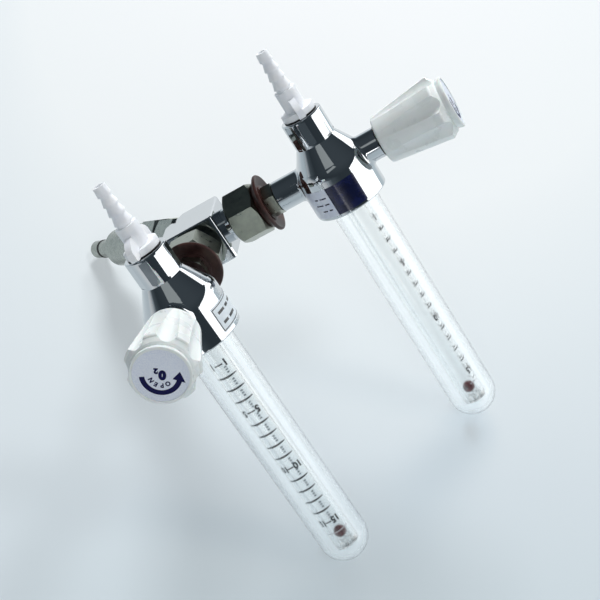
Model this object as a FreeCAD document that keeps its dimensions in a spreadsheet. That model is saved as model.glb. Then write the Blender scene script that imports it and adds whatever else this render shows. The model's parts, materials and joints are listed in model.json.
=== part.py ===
# Twin oxygen flowmeter: two flowmeters on a right-angled manifold block with one gas probe.
# It stands as it rests on a table: on the domes of its two clear tubes and on the probe's nose.
#
# Each piece is drawn in the frame of what carries it.
# Flowmeter frame: origin where the tube's axis meets the valve's axis, +Z from the tube to the
# hose tail, +Y outwards from the manifold through the valve to the knob.
# Manifold frame: origin at the block's centre, +Z as above, +Y along the gas probe.
# One turn about X then leans the whole part onto its three points of contact with the table.
import FreeCAD, Part
import math
import os
import re
import Sketcher

Vector = FreeCAD.Vector
Rotation = FreeCAD.Rotation
Placement = FreeCAD.Placement

doc = FreeCAD.newDocument("twin_flowmeter")
sizes = doc.addObject("Spreadsheet::Sheet", "Sizes")

DRIVING_SIZES = [
    # layout
    ("arm_angle", 45.0),
    # clearances that the fits are made from, and how far a cut runs past what it cuts
    ("thread_gap", 0.05), ("running_gap", 0.05), ("turning_gap", 0.6), ("float_gap", 0.3),
    ("push_gap", 0.03), ("cut_over", 1.0),
    # cast body of a flowmeter
    ("boss_r", 12.1), ("boss_top", 34.4), ("boss_rim", 0.8), ("flat_r", 11.86), ("flat_foot", 22.8),
    ("flat_round", 5.2), ("flat_count", 8), ("shoulder_start", 18.4), ("shoulder_set", 2.0),
    ("shoulder_low", 6.4), ("shoulder_curve", 9.0), ("skirt_wall", 3.9), ("skirt_top", 0.6),
    ("skirt_drop", 21.5), ("skirt_round", 0.9), ("inlet_r", 9.0), ("inlet_reach", 35.3),
    ("valve_r", 8.8), ("valve_reach", 30.4), ("neck_blend", 2.6), ("neck_edge", 0.8),
    ("socket_gap", 0.3), ("socket_roof", 8.0), ("feed_r", 1.9), ("outlet_r", 7.0),
    ("outlet_floor", 21.0), ("riser_r", 1.5), ("riser_y", 4.9), ("port_r", 1.2), ("port_y", 9.6),
    ("chamber_r", 5.2), ("valve_seat_y", 8.2), ("valve_seat_r", 1.6), ("nipple_bore_r", 6.1),
    ("nipple_bore_depth", 15.0),
    # clear tubes, float and what holds them
    ("tube_r", 14.0), ("tube_wall", 2.5), ("dome_lead", 2.9), ("tube_flange_lip", 3.2),
    ("tube_flange", 3.0), ("gasket", 1.2), ("ring_recess", 0.6), ("ring_slot", 3.0),
    ("ring_slot_depth", 1.6), ("metering_r", 7.0), ("metering_seat", 3.6), ("metering_gasket", 1.0),
    ("metering_end", 164.6), ("metering_foot_bore", 2.0), ("metering_low_bore", 3.8),
    ("metering_high_bore", 4.5), ("ball_seat_z", 13.0), ("ball_r", 3.5), ("stop_spigot", 3.6),
    ("stop_flange_r", 6.4), ("stop_flange", 1.4), ("stop_hole_r", 0.9), ("stop_hole_ring", 2.6),
    ("stop_holes", 4),
    # white hose tail
    ("tail_spigot", 11.0), ("tail_collar_r", 9.7), ("tail_collar", 3.4), ("tail_seal", 0.7),
    ("tail_stem_r", 6.1), ("tail_stem_top", 51.0), ("barb_first_r", 5.1), ("barb_fall", 0.42),
    ("barb_pitch", 5.45), ("barb_step", 0.85), ("barb_lead", 0.17), ("tail_bore_r", 2.2),
    ("wing_reach", 15.6), ("wing_foot", 0.3), ("wing_thick", 3.8), ("wing_side", 5.2), ("wing_height", 10.6),
    ("wing_corner", 1.6), ("wing_curve", 11.0), ("wing_top", 4.9), ("wing_angle_left", -5.0),
    ("wing_angle_right", -76.0),
    # needle valve and knob
    ("spindle_r", 2.5), ("needle_start", 12.2), ("needle_tip", 7.4), ("needle_tip_r", 1.1),
    ("spindle_end", 62.0), ("bonnet_depth", 11.0), ("bonnet_flange_r", 7.6), ("bonnet_flange", 2.2),
    ("o_ring", 1.6), ("knob_rear_r", 13.9), ("knob_front_r", 18.4), ("knob_rear_round", 1.2),
    ("knob_length", 43.4), ("knob_shoulder", 7.9), ("knob_shoulder_round", 1.4),
    ("knob_shoulder_drop", 1.2), ("knob_face_r", 15.0), ("knob_face_round", 0.7),
    ("knob_groove_r", 14.2), ("knob_groove_back", 4.5), ("knob_groove_run", 0.8),
    ("knob_groove_lip", 1.4),
    ("knob_cavity_r", 9.8), ("knob_cavity_depth", 24.0), ("knob_hub_r", 5.6), ("knob_hub_set", 5.0),
    ("flute_count", 7), ("flute_r", 6.6), ("flute_centre_front", 22.0), ("flute_centre_rear", 20.3),
    ("knob_angle", 12.0), ("cap_r", 13.5), ("cap_thick", 1.2), ("cap_sunk", 0.35),
    ("screw_r", 1.5), ("screw_length", 9.0), ("screw_head_r", 3.6), ("screw_head", 2.2),
    ("screw_slot", 0.9),
    # union between a flowmeter and the manifold
    ("nut_flats", 28.0), ("nut_length", 18.1), ("nut_chamfer", 2.6), ("nut_inset", 0.55),
    ("nut_wall", 4.6), ("nut_angle_left", 28.0), ("nut_angle_right", 4.0), ("stub_r", 9.7),
    ("stub_length", 15.0), ("stub_root", 2.0), ("stub_edge", 1.0),
    ("nipple_r", 7.1), ("nipple_head_r", 9.3),
    ("nipple_head", 2.8), ("nipple_thread", 10.0), ("nipple_bore", 3.0), ("face_seal", 1.0),
    ("face_seal_inset", 0.4),
    ("filter_thick", 2.0), ("lock_flats", 16.6), ("lock_thick", 6.2), ("lock_chamfer", 0.7),
    ("collar_thick", 4.1), ("collar_r", 17.0), ("collar_hub_r", 12.6), ("collar_rim", 2.2),
    ("collar_proud", 1.1), ("collar_dish", 1.8), ("collar_dish_r", 10.4), ("collar_dish_slope", 1.0),
    ("collar_round", 1.0),
    # manifold block and probe
    ("block_half", 17.0), ("block_front_cut", 0.84), ("block_side_cut", 1.44), ("block_back_cut", 7.64),
    ("block_height", 28.0), ("block_edge", 0.7), ("gallery_r", 3.2), ("adaptor_spigot_r", 8.0),
    ("adaptor_spigot", 10.0), ("adaptor_flats", 27.0), ("adaptor_hex", 17.6),
    ("adaptor_thread", 11.0), ("probe_nut_gap", 1.2), ("probe_collar_r", 13.4),
    ("probe_collar", 16.0), ("probe_edge", 0.8), ("probe_neck", 3.0), ("probe_neck_depth", 1.6),
    ("probe_waist_r", 11.6), ("probe_waist", 29.7), ("probe_cone", 13.0), ("probe_nose_r", 5.6),
    ("probe_nose", 20.9), ("probe_nose_round", 1.4), ("probe_bore_r", 2.4), ("probe_groove_set", 9.0),
    ("probe_groove", 2.2), ("probe_groove_depth", 0.9), ("nose_seal_proud", 0.25),
    ("nose_seal_gap", 0.2), ("knurl_count", 24), ("knurl_r", 1.3), ("knurl_set", 0.78),
]

for row, (alias, number) in enumerate(DRIVING_SIZES, start=1):
    sizes.set(f"A{row}", alias)
    sizes.set(f"B{row}", str(number))
    sizes.setAlias(f"B{row}", alias)
doc.recompute()

ALIASES = {alias for alias, number in DRIVING_SIZES}

# Radii and places that several pieces share, in the order of the stack that sets them: along the
# clear tube and out from it to the skirt, out of a flowmeter through its union to the block's
# centre, then out of the block to the end of the probe.
DOME_Z = "(metering_end - dome_lead)"
BALL_REST = "(metering_end - stop_spigot - ball_r - float_gap)"
FLANGE_R = "(tube_r + tube_flange_lip)"
SOCKET_R = f"({FLANGE_R} + socket_gap)"
SKIRT_R = f"({SOCKET_R} + skirt_wall)"
NUT_FACE = "(inlet_reach + lock_thick + collar_thick)"
NIPPLE_FACE = f"({NUT_FACE} + nut_wall + nipple_head)"
ARM_REACH = f"({NIPPLE_FACE} + face_seal + stub_length + block_half)"
BLOCK_BACK = "(block_half * sqrt(2) - block_back_cut)"
HEX_END = f"({BLOCK_BACK} + adaptor_hex)"
ADAPTOR_END = f"({HEX_END} + adaptor_thread)"
PROBE_NUT_NEAR = f"({HEX_END} + probe_nut_gap)"
PROBE_NUT_FAR = f"({PROBE_NUT_NEAR} + nut_length)"
CONE_START = f"({PROBE_NUT_FAR} + probe_collar + probe_waist)"
NOSE_START = f"({CONE_START} + probe_cone)"
PROBE_REACH = f"({NOSE_START} + probe_nose)"
NUT_CORNER = "(nut_flats / sqrt(3) + cut_over)"
KNOB_REAR = "(valve_reach + turning_gap)"
KNOB_FACE = f"({KNOB_REAR} + knob_length)"

# Two lengths closer than this are the same.
SAME = 0.01


def bound(text):
    """The expression with every size's alias pointed at the sheet."""
    return re.sub(r"[a-z]\w*", lambda word: f"Sizes.{word[0]}" if word[0] in ALIASES else word[0], text)


def number(text):
    """The value of an expression of sizes, in millimetres or plain degrees."""
    found = sizes.evalExpression(bound(text))
    return float(getattr(found, "Value", found))


def new_piece(label):
    """A body of its own, named as its file is."""
    body = doc.addObject("PartDesign::Body", label)
    body.Label = label
    return body


def origin_feature(body, role):
    """One of the body's own origin planes or axes."""
    return next(item for item in body.Origin.OriginFeatures if item.Role == role)


def new_sketch(body, name, role, lift="0", turn="0"):
    """A sketch on one of the body's origin planes, lifted along its normal and turned about it."""
    sketch = body.newObject("Sketcher::SketchObject", f"{body.Name}_{name}")
    sketch.AttachmentSupport = [(origin_feature(body, role), "")]
    sketch.MapMode = "FlatFace"
    turned = Rotation(Vector(0, 0, 1), number(turn))
    sketch.AttachmentOffset = Placement(Vector(0, 0, number(lift)), turned)
    if lift != "0":
        sketch.setExpression("AttachmentOffset.Base.z", bound(lift))
    if turn != "0":
        sketch.setExpression("AttachmentOffset.Rotation.Angle", bound(turn))
    return sketch


def hold(sketch, kind, geometry, end, text):
    """Ties one coordinate of a point to an expression, or lays it on the sketch's own axis."""
    if text == "0":
        own_axis = -2 if kind == "DistanceX" else -1
        sketch.addConstraint(Sketcher.Constraint("PointOnObject", geometry, end, own_axis))
        return
    index = sketch.addConstraint(Sketcher.Constraint(kind, -1, 1, geometry, end, number(text)))
    sketch.setExpression(f"Constraints[{index}]", bound(text))


def arc_between(start, end, radius, side):
    """The short arc from start to end; side is 1 with its centre to the left of the way there."""
    chord = end - start
    half = chord.Length / 2
    rise = math.sqrt(max(radius * radius - half * half, 0.0))
    centre = (start + end) * 0.5 + Vector(-chord.y, chord.x, 0).normalize() * rise * side
    first, last = (start, end) if side > 0 else (end, start)
    angle_first = math.atan2(first.y - centre.y, first.x - centre.x)
    angle_last = math.atan2(last.y - centre.y, last.x - centre.x)
    circle = Part.Circle(centre, Vector(0, 0, 1), radius)
    return Part.ArcOfCircle(circle, angle_first, angle_last)


def outline(sketch, corners):
    """A closed outline through corners of two expressions each.

    A corner with two more items is reached by an arc: its radius, and the side of its centre."""
    points = [Vector(number(corner[0]), number(corner[1]), 0) for corner in corners]
    ends = []
    for index, corner in enumerate(corners):
        start, end = points[index - 1], points[index]
        if len(corner) == 4:
            geometry = sketch.addGeometry(arc_between(start, end, number(corner[2]), corner[3]), False)
            ends.append((geometry, 1, 2) if corner[3] > 0 else (geometry, 2, 1))
        else:
            geometry = sketch.addGeometry(Part.LineSegment(start, end), False)
            ends.append((geometry, 1, 2))
    for index, corner in enumerate(corners):
        geometry, start, end = ends[index]
        following = ends[(index + 1) % len(ends)]
        sketch.addConstraint(Sketcher.Constraint("Coincident", geometry, end, following[0], following[1]))
        hold(sketch, "DistanceX", geometry, end, corner[0])
        hold(sketch, "DistanceY", geometry, end, corner[1])
        if len(corner) == 4:
            index = sketch.addConstraint(Sketcher.Constraint("Radius", geometry, number(corner[2])))
            sketch.setExpression(f"Constraints[{index}]", bound(corner[2]))


def circle(sketch, radius, across="0", up="0"):
    """A circle of a given radius, about the sketch's origin or a point given by expressions."""
    centre = Vector(number(across), number(up), 0)
    geometry = sketch.addGeometry(Part.Circle(centre, Vector(0, 0, 1), number(radius)), False)
    hold(sketch, "DistanceX", geometry, 3, across)
    hold(sketch, "DistanceY", geometry, 3, up)
    index = sketch.addConstraint(Sketcher.Constraint("Radius", geometry, number(radius)))
    sketch.setExpression(f"Constraints[{index}]", bound(radius))


def turned(body, name, role, axis, corners, cut=False, turn="0"):
    """A turned form, or a turned cut, from half its section."""
    sketch = new_sketch(body, f"{name}_section", role, turn=turn)
    outline(sketch, corners)
    kind = "PartDesign::Groove" if cut else "PartDesign::Revolution"
    feature = body.newObject(kind, f"{body.Name}_{name}")
    feature.Profile = sketch
    feature.ReferenceAxis = (sketch, [axis])
    feature.Angle = 360
    return feature


def extruded(body, name, sketch, length, backwards=False, both_ways=False, cut=False):
    """A pad or a pocket of the sketch."""
    feature = body.newObject("PartDesign::Pocket" if cut else "PartDesign::Pad", f"{body.Name}_{name}")
    feature.Profile = sketch
    feature.Length = number(length)
    feature.setExpression("Length", bound(length))
    feature.Reversed = backwards
    if both_ways:
        feature.SideType = "Symmetric"
    return feature


def repeated(body, name, features, role, count):
    """The features repeated round one of the body's own axes."""
    pattern = body.newObject("PartDesign::PolarPattern", f"{body.Name}_{name}")
    pattern.Originals = features
    pattern.Axis = (origin_feature(body, role), [""])
    pattern.Angle = 360
    pattern.Occurrences = int(number(count))
    pattern.setExpression("Occurrences", bound(count))
    body.Tip = pattern
    return pattern


def softened(body, name, kind, edges, radius):
    """A fillet or chamfer on the edges that the given test picks from the body so far."""
    doc.recompute()
    base = body.Tip
    names = [f"Edge{index}" for index, edge in enumerate(base.Shape.Edges, start=1) if edges(edge)]
    feature = body.newObject(f"PartDesign::{kind}", f"{body.Name}_{name}")
    feature.Base = (base, names)
    field = "Radius" if kind == "Fillet" else "Size"
    setattr(feature, field, number(radius))
    feature.setExpression(field, bound(radius))
    return feature


def hexagon(flats):
    """The six corners of a hexagon with two corners up and down."""
    corner = f"{flats} / sqrt(3)"
    half = f"{flats} / 2"
    return [("0", corner), (f"-{half}", f"{corner} / 2"), (f"-{half}", f"-{corner} / 2"),
            ("0", f"-{corner}"), (half, f"-{corner} / 2"), (half, f"{corner} / 2")]


def ring(label, role, axis, inner, outer, low, high):
    """A plain washer or gasket: a turned rectangle between two places along its axis."""
    body = new_piece(label)
    along_x = axis == "H_Axis"
    corners = [(inner, low), (outer, low), (outer, high), (inner, high)]
    if along_x:
        corners = [(along, across) for across, along in corners]
    turned(body, "ring", role, axis, corners)
    return body


def make_flowmeter_body(label):
    """Cast and plated body: hose boss, shoulder, skirt over the tubes, inlet and valve necks."""
    body = new_piece(label)
    turned(body, "casting", "XZ_Plane", "V_Axis", [
        ("0", "boss_top"), ("boss_r - boss_rim", "boss_top"),
        ("boss_r", "boss_top - boss_rim", "boss_rim", -1), ("boss_r", "shoulder_start"),
        (f"{SKIRT_R} - shoulder_set", "shoulder_low"), (SKIRT_R, "skirt_top", "shoulder_curve", -1),
        (SKIRT_R, "skirt_round - skirt_drop"),
        (f"{SKIRT_R} - skirt_round", "-skirt_drop", "skirt_round", -1), ("0", "-skirt_drop")])
    for name, radius, reach, outwards in (
            ("inlet_neck", "inlet_r", "inlet_reach", False), ("valve_neck", "valve_r", "valve_reach", True)):
        sketch = new_sketch(body, f"{name}_circle", "XZ_Plane")
        circle(sketch, radius)
        extruded(body, name, sketch, reach, backwards=outwards)

    def at_neck_root(edge):
        reach = max(abs(vertex.Point.y) for vertex in edge.Vertexes)
        radii = [math.hypot(vertex.Point.x, vertex.Point.z) for vertex in edge.Vertexes]
        neck = number("valve_r") if edge.Vertexes[0].Point.y > 0 else number("inlet_r")
        middle = edge.valueAt((edge.FirstParameter + edge.LastParameter) / 2)
        near = abs(math.hypot(middle.x, middle.z) - neck) < SAME
        return near and reach < number(SKIRT_R) + SAME and max(abs(r - neck) for r in radii) < SAME

    softened(body, "neck_blend", "Fillet", at_neck_root, "neck_blend")

    def at_neck_end(edge):
        ends = (number("valve_reach"), -number("inlet_reach"))
        return any(all(abs(v.Point.y - end) < SAME for v in edge.Vertexes) for end in ends)

    softened(body, "neck_edge", "Chamfer", at_neck_end, "neck_edge")

    half = "(flat_r * tan(180 / flat_count))"
    sketch = new_sketch(body, "flat_outline", "YZ_Plane", lift="flat_r")
    outline(sketch, [
        (half, "boss_top - 2 * boss_rim"), (f"-{half}", "boss_top - 2 * boss_rim"),
        (f"-{half}", "flat_foot"), (half, "flat_foot", "flat_round", 1)])
    flat = extruded(body, "flat", sketch, "boss_r", backwards=True, cut=True)
    repeated(body, "flats", [flat], "Z_Axis", "flat_count")

    turned(body, "tube_socket", "XZ_Plane", "V_Axis", [
        ("0", "-skirt_drop"), (SOCKET_R, "-skirt_drop"), (SOCKET_R, "-socket_roof"),
        ("metering_r + thread_gap", "-socket_roof"), ("metering_r + thread_gap", "-metering_seat"),
        ("feed_r", "-metering_seat"), ("feed_r", "0"), ("0", "0")], cut=True)
    turned(body, "outlet", "XZ_Plane", "V_Axis", [
        ("0", "boss_top"), ("0", "outlet_floor"), ("outlet_r", "outlet_floor"),
        ("outlet_r", "boss_top")], cut=True)
    turned(body, "valve_bore", "YZ_Plane", "H_Axis", [
        ("riser_y", "0"), ("riser_y", "valve_seat_r"), ("valve_seat_y", "valve_seat_r"),
        ("valve_seat_y", "chamber_r"), ("valve_reach", "chamber_r"), ("valve_reach", "0")], cut=True)
    turned(body, "inlet_bore", "YZ_Plane", "H_Axis", [
        ("-inlet_reach", "0"), ("-inlet_reach", "nipple_bore_r"),
        ("nipple_bore_depth - inlet_reach", "nipple_bore_r"),
        ("nipple_bore_depth - inlet_reach", "feed_r"), ("0", "feed_r"), ("0", "0")], cut=True)
    sketch = new_sketch(body, "riser_circle", "XY_Plane")
    circle(sketch, "riser_r", up="riser_y")
    extruded(body, "riser", sketch, "outlet_floor", backwards=True, cut=True)
    sketch = new_sketch(body, "port_circle", "XY_Plane")
    circle(sketch, "port_r", up="port_y")
    extruded(body, "port", sketch, "socket_roof", cut=True)
    return body


def make_outer_tube(label):
    """Clear moulded shroud with a domed end and a flange that seats in the skirt."""
    body = new_piece(label)
    bore = "(tube_r - tube_wall)"
    top = "(-socket_roof - gasket)"
    turned(body, "tube", "XZ_Plane", "V_Axis", [
        (bore, top), (bore, f"-{DOME_Z}"), ("0", f"-{DOME_Z} - {bore}", bore, -1),
        ("0", f"-{DOME_Z} - tube_r"), ("tube_r", f"-{DOME_Z}", "tube_r", 1),
        ("tube_r", f"{top} - tube_flange"), (FLANGE_R, f"{top} - tube_flange"),
        (FLANGE_R, top)])
    return body


def make_tube_ring(label):
    """Threaded ring that clamps the shroud's flange up into the skirt, with two key slots."""
    body = new_piece(label)
    low = "(ring_recess - skirt_drop)"
    high = "(-socket_roof - gasket - tube_flange)"
    turned(body, "ring", "XZ_Plane", "V_Axis", [
        ("tube_r + thread_gap", low), (f"{SOCKET_R} - thread_gap", low),
        (f"{SOCKET_R} - thread_gap", high), ("tube_r + thread_gap", high)])
    sketch = new_sketch(body, "slot_outline", "XY_Plane", lift=low)
    outline(sketch, [(f"-{SOCKET_R}", "-ring_slot / 2"), (SOCKET_R, "-ring_slot / 2"),
                     (SOCKET_R, "ring_slot / 2"), (f"-{SOCKET_R}", "ring_slot / 2")])
    extruded(body, "slot", sketch, "ring_slot_depth", backwards=True, cut=True)
    return body


def make_metering_tube(label):
    """Clear inner tube with a bore that widens away from the ball's seat."""
    body = new_piece(label)
    top = "(-metering_seat - metering_gasket)"
    turned(body, "tube", "XZ_Plane", "V_Axis", [
        ("metering_foot_bore", top), ("metering_foot_bore", "-ball_seat_z + metering_low_bore"),
        ("metering_low_bore", "-ball_seat_z"), ("metering_high_bore", "-metering_end"),
        ("metering_r", "-metering_end"), ("metering_r", top)])
    return body


def make_float_stop(label):
    """Perforated plug pressed into the far end of the metering tube."""
    body = new_piece(label)
    rest = "(stop_spigot - metering_end)"
    spigot = "(metering_high_bore - push_gap)"
    turned(body, "plug", "XZ_Plane", "V_Axis", [
        ("0", rest), (spigot, rest), (spigot, "-metering_end"), ("stop_flange_r", "-metering_end"),
        ("stop_flange_r", "-metering_end - stop_flange"), ("0", "-metering_end - stop_flange")])
    sketch = new_sketch(body, "hole_circle", "XY_Plane", lift="-metering_end - stop_flange")
    circle(sketch, "stop_hole_r", across="stop_hole_ring")
    depth = f"{rest} + metering_end + stop_flange"
    hole = extruded(body, "hole", sketch, depth, backwards=True, cut=True)
    repeated(body, "holes", [hole], "Z_Axis", "stop_holes")
    return body


def make_ball_float(label):
    """Solid ball that rides up the metering tube; at rest it has fallen to the stop."""
    ball = doc.addObject("Part::Sphere", label)
    ball.Label = label
    ball.setExpression("Radius", bound("ball_r"))
    return ball


BARB_COUNT = 4


def make_hose_tail(label):
    """Moulded tail: threaded spigot, round collar with two finger wings, stem and barbs."""
    body = new_piece(label)
    foot = "(boss_top + tail_seal)"
    spigot_r = "(outlet_r - thread_gap)"
    corners = [
        ("0", "boss_top - tail_spigot"), (spigot_r, "boss_top - tail_spigot"), (spigot_r, foot),
        ("tail_collar_r", foot), ("tail_collar_r", f"{foot} + tail_collar"),
        ("tail_stem_r", f"{foot} + tail_collar"), ("tail_stem_r", "tail_stem_top")]
    for barb in range(BARB_COUNT):
        ridge = f"(barb_first_r - {barb} * barb_fall)"
        low = f"(tail_stem_top + barb_step + {barb} * barb_pitch)"
        corners.append((f"{ridge} - barb_step", f"{low} - barb_step * {1 if barb == 0 else 0}"))
        corners.append((f"{ridge} - barb_step", f"{low} + barb_step"))
        corners.append((ridge, f"{low} + barb_step + barb_lead"))
    tip = f"(tail_stem_top + 2 * barb_step + {BARB_COUNT} * barb_pitch)"
    corners.append((f"barb_first_r - {BARB_COUNT} * barb_fall", tip))
    corners.append(("0", tip))
    turned(body, "form", "XZ_Plane", "V_Axis", corners)
    wing_low = f"({foot} + wing_foot)"
    wing_high = f"({foot} + wing_height)"
    sketch = new_sketch(body, "wing_outline", "YZ_Plane")
    outline(sketch, [
        ("wing_corner - wing_reach", wing_low, "wing_corner", 1),
        ("wing_reach - wing_corner", wing_low),
        ("wing_reach", f"{wing_low} + wing_corner", "wing_corner", 1),
        ("wing_reach", f"{wing_low} + wing_side"),
        ("wing_top", wing_high, "wing_curve", 1),
        ("-wing_top", wing_high),
        ("-wing_reach", f"{wing_low} + wing_side", "wing_curve", 1),
        ("-wing_reach", f"{wing_low} + wing_corner")])
    extruded(body, "wings", sketch, "wing_thick", both_ways=True)
    turned(body, "bore", "XZ_Plane", "V_Axis", [
        ("0", "boss_top - tail_spigot"), ("tail_bore_r", "boss_top - tail_spigot"),
        ("tail_bore_r", tip), ("0", tip)], cut=True)
    return body


def make_union_nut(label):
    """Plated hexagon nut that draws the nipple onto the manifold's stub."""
    body = new_piece(label)
    sketch = new_sketch(body, "hexagon", "XZ_Plane", lift=NUT_FACE)
    outline(sketch, hexagon("nut_flats"))
    extruded(body, "blank", sketch, "nut_length")
    near = f"-{NUT_FACE}"
    far = f"({near} - nut_length)"
    for name, face, inwards in (("near", near, "-"), ("far", far, "+")):
        turned(body, f"{name}_chamfer", "YZ_Plane", "H_Axis", [
            (face, "nut_flats / 2 - nut_inset"), (face, NUT_CORNER),
            (f"{face} {inwards} nut_chamfer", NUT_CORNER)], cut=True)
    turned(body, "bore", "YZ_Plane", "H_Axis", [
        (near, "0"), (near, "nipple_r + thread_gap"), (f"{near} - nut_wall", "nipple_r + thread_gap"),
        (f"{near} - nut_wall", "stub_r + thread_gap"), (far, "stub_r + thread_gap"), (far, "0")], cut=True)
    return body


def make_inlet_nipple(label):
    """Turned brass nipple, screwed into the inlet neck, whose head the nut pulls on."""
    body = new_piece(label)
    thread_r = "(nipple_bore_r - thread_gap)"
    turned(body, "form", "YZ_Plane", "H_Axis", [
        (f"-{NIPPLE_FACE}", "nipple_bore"), (f"-{NIPPLE_FACE}", "nipple_head_r"),
        (f"-{NIPPLE_FACE} + nipple_head", "nipple_head_r"), (f"-{NIPPLE_FACE} + nipple_head", "nipple_r"),
        ("-inlet_reach", "nipple_r"), ("-inlet_reach", thread_r),
        ("nipple_thread - inlet_reach", thread_r), ("nipple_thread - inlet_reach", "nipple_bore")])
    return body


def make_lock_nut(label):
    """Thin hexagon that locks the nipple in the inlet neck and backs the rubber collar."""
    body = new_piece(label)
    sketch = new_sketch(body, "hexagon", "XZ_Plane", lift="inlet_reach")
    outline(sketch, hexagon("lock_flats"))
    extruded(body, "blank", sketch, "lock_thick")
    far = "(inlet_reach + lock_thick)"
    corner = "(lock_flats / sqrt(3) + cut_over)"
    turned(body, "chamfer", "YZ_Plane", "H_Axis", [
        (f"-{far}", "lock_flats / 2"), (f"-{far}", corner),
        (f"-{far} + lock_chamfer", corner)], cut=True)
    turned(body, "bore", "YZ_Plane", "H_Axis", [
        ("-inlet_reach", "0"), ("-inlet_reach", "nipple_r + thread_gap"),
        (f"-{far}", "nipple_r + thread_gap"), (f"-{far}", "0")], cut=True)
    return body


def make_sealing_collar(label):
    """Brown dished rubber collar, held between the lock nut and the union nut."""
    body = new_piece(label)
    seat = "(inlet_reach + lock_thick)"
    rim_front = f"({seat} - collar_proud)"
    rim_back = f"({rim_front} + collar_rim)"
    turned(body, "form", "YZ_Plane", "H_Axis", [
        (f"-{NUT_FACE}", "nipple_r + thread_gap"), (f"-{NUT_FACE}", "collar_hub_r"),
        (f"-{rim_back}", "collar_r - collar_round"),
        (f"-{rim_back} + collar_round", "collar_r", "collar_round", -1),
        (f"-{rim_front} - collar_round", "collar_r"),
        (f"-{rim_front}", "collar_r - collar_round", "collar_round", -1),
        (f"-{rim_front} - collar_dish", "collar_dish_r + collar_dish_slope"),
        (f"-{rim_front} - collar_dish", "collar_dish_r"), (f"-{seat}", "collar_dish_r"),
        (f"-{seat}", "nipple_r + thread_gap")])
    return body


def make_valve_bonnet(label):
    """Turned bonnet screwed into the valve neck: it guides and seals the spindle."""
    body = new_piece(label)
    bore = "(spindle_r + running_gap)"
    turned(body, "form", "YZ_Plane", "H_Axis", [
        ("valve_reach - bonnet_depth", bore), ("valve_reach - bonnet_depth", "chamber_r - thread_gap"),
        ("valve_reach", "chamber_r - thread_gap"), ("valve_reach", "bonnet_flange_r"),
        ("valve_reach + bonnet_flange", "bonnet_flange_r"), ("valve_reach + bonnet_flange", bore)])
    return body


def make_valve_spindle(label):
    """Stainless needle: its tip meters the gas at the seat and its far end carries the knob."""
    body = new_piece(label)
    turned(body, "form", "YZ_Plane", "H_Axis", [
        ("needle_tip", "0"), ("needle_tip", "needle_tip_r"), ("needle_start", "spindle_r"),
        ("spindle_end", "spindle_r"), ("spindle_end", "screw_r"),
        ("spindle_end - screw_length + screw_head", "screw_r"),
        ("spindle_end - screw_length + screw_head", "0")])
    return body


def make_knob(label):
    """Moulded knob: a hollow tapered shell with finger flutes, a hub and a raised face ring."""
    body = new_piece(label)
    rear, face = KNOB_REAR, KNOB_FACE
    shoulder = f"({face} - knob_shoulder)"
    turned(body, "shell", "YZ_Plane", "H_Axis", [
        (rear, "0"), (rear, "knob_rear_r - knob_rear_round"),
        (f"{rear} + knob_rear_round", "knob_rear_r", "knob_rear_round", -1),
        (shoulder, "knob_front_r"),
        (f"{shoulder} + knob_shoulder_round", "knob_front_r - knob_shoulder_drop",
         "knob_shoulder_round", -1),
        (f"{face} - knob_groove_back", "knob_groove_r + knob_groove_lip"),
        (f"{face} - knob_groove_back + knob_groove_run", "knob_groove_r"),
        (f"{face} - 2 * knob_face_round", "knob_face_r"), (f"{face} - knob_face_round", "knob_face_r"),
        (face, "knob_face_r - knob_face_round", "knob_face_round", -1), (face, "0")])
    tilt = "atan((flute_centre_front - flute_centre_rear) / (knob_length - knob_shoulder))"
    cutter = body.newObject("PartDesign::SubtractiveCylinder", f"{body.Name}_flute")
    cutter.AttachmentSupport = [(origin_feature(body, "XZ_Plane"), "")]
    cutter.MapMode = "FlatFace"
    cutter.Radius = number("flute_r")
    cutter.setExpression("Radius", bound("flute_r"))
    cutter.Height = number("2 * knob_length")
    cutter.setExpression("Height", bound("2 * knob_length"))
    climb = f"(knob_shoulder * tan({tilt}))"
    end = Vector(0, number(f"flute_centre_front + {climb}"), -number(face))
    cutter.AttachmentOffset = Placement(end, Rotation(Vector(1, 0, 0), number(tilt)))
    repeated(body, "flutes", [cutter], "Y_Axis", "flute_count")
    turned(body, "cavity", "YZ_Plane", "H_Axis", [
        (rear, "knob_hub_r"), (f"{rear} + knob_hub_set", "knob_hub_r"),
        (f"{rear} + knob_cavity_depth", "knob_hub_r"), (f"{rear} + knob_cavity_depth", "knob_cavity_r"),
        (rear, "knob_cavity_r")], cut=True)
    turned(body, "hub_bore", "YZ_Plane", "H_Axis", [
        (rear, "0"), (rear, "knob_hub_r"), (f"{rear} + knob_hub_set", "knob_hub_r"),
        (f"{rear} + knob_hub_set", "spindle_r + thread_gap"), ("spindle_end", "spindle_r + thread_gap"),
        ("spindle_end", "screw_r + thread_gap"),
        ("spindle_end + screw_head", "screw_r + thread_gap"),
        ("spindle_end + screw_head", "screw_head_r + float_gap"),
        (f"{face} - cap_thick - cap_sunk", "screw_head_r + float_gap"),
        (f"{face} - cap_thick - cap_sunk", "cap_r"), (face, "cap_r"), (face, "0")], cut=True)
    return body


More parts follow.
